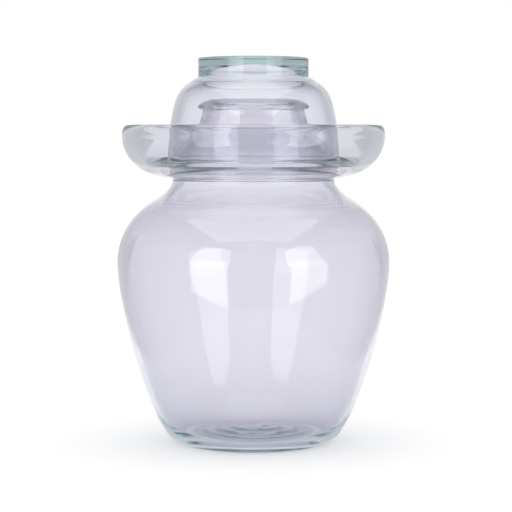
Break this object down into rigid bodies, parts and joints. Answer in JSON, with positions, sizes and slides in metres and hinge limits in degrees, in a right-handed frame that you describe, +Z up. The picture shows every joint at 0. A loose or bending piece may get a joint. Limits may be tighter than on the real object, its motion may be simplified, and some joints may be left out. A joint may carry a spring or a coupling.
{
  "type": "fermentation jar",
  "caption": "Clear glass water-seal fermentation jar: pot-bellied body, flared moat around the neck, and a domed glass lid with a thick disc knob that stands in the moat.",
  "frame": {"origin": "centre of the foot ring, on the surface that the jar stands on", "axes": "+Z up along the jar's axis of revolution; +X and +Y are free, because every piece is turned about Z"},
  "size_m": [0.1704, 0.1704, 0.2404],
  "materials": {
    "body_glass": "clear blown glass, fire polished, faint lavender cast",
    "moat_glass": "clear thick glass, fire polished",
    "lid_glass": "clear blown glass, fire polished",
    "knob_glass": "thick clear glass, grey green seen through its depth"
  },
  "bodies": {
    "jar": {"jar_body": "body_glass", "moat_bowl": "moat_glass"},
    "lid": {"lid_dome": "lid_glass", "lid_knob": "knob_glass"}
  },
  "joints": [
    {"name": "lid_lift", "type": "slide", "parent": "jar", "child": "lid", "axis": [0, 0, 1], "range_m": [0, 0.15]}
  ]
}
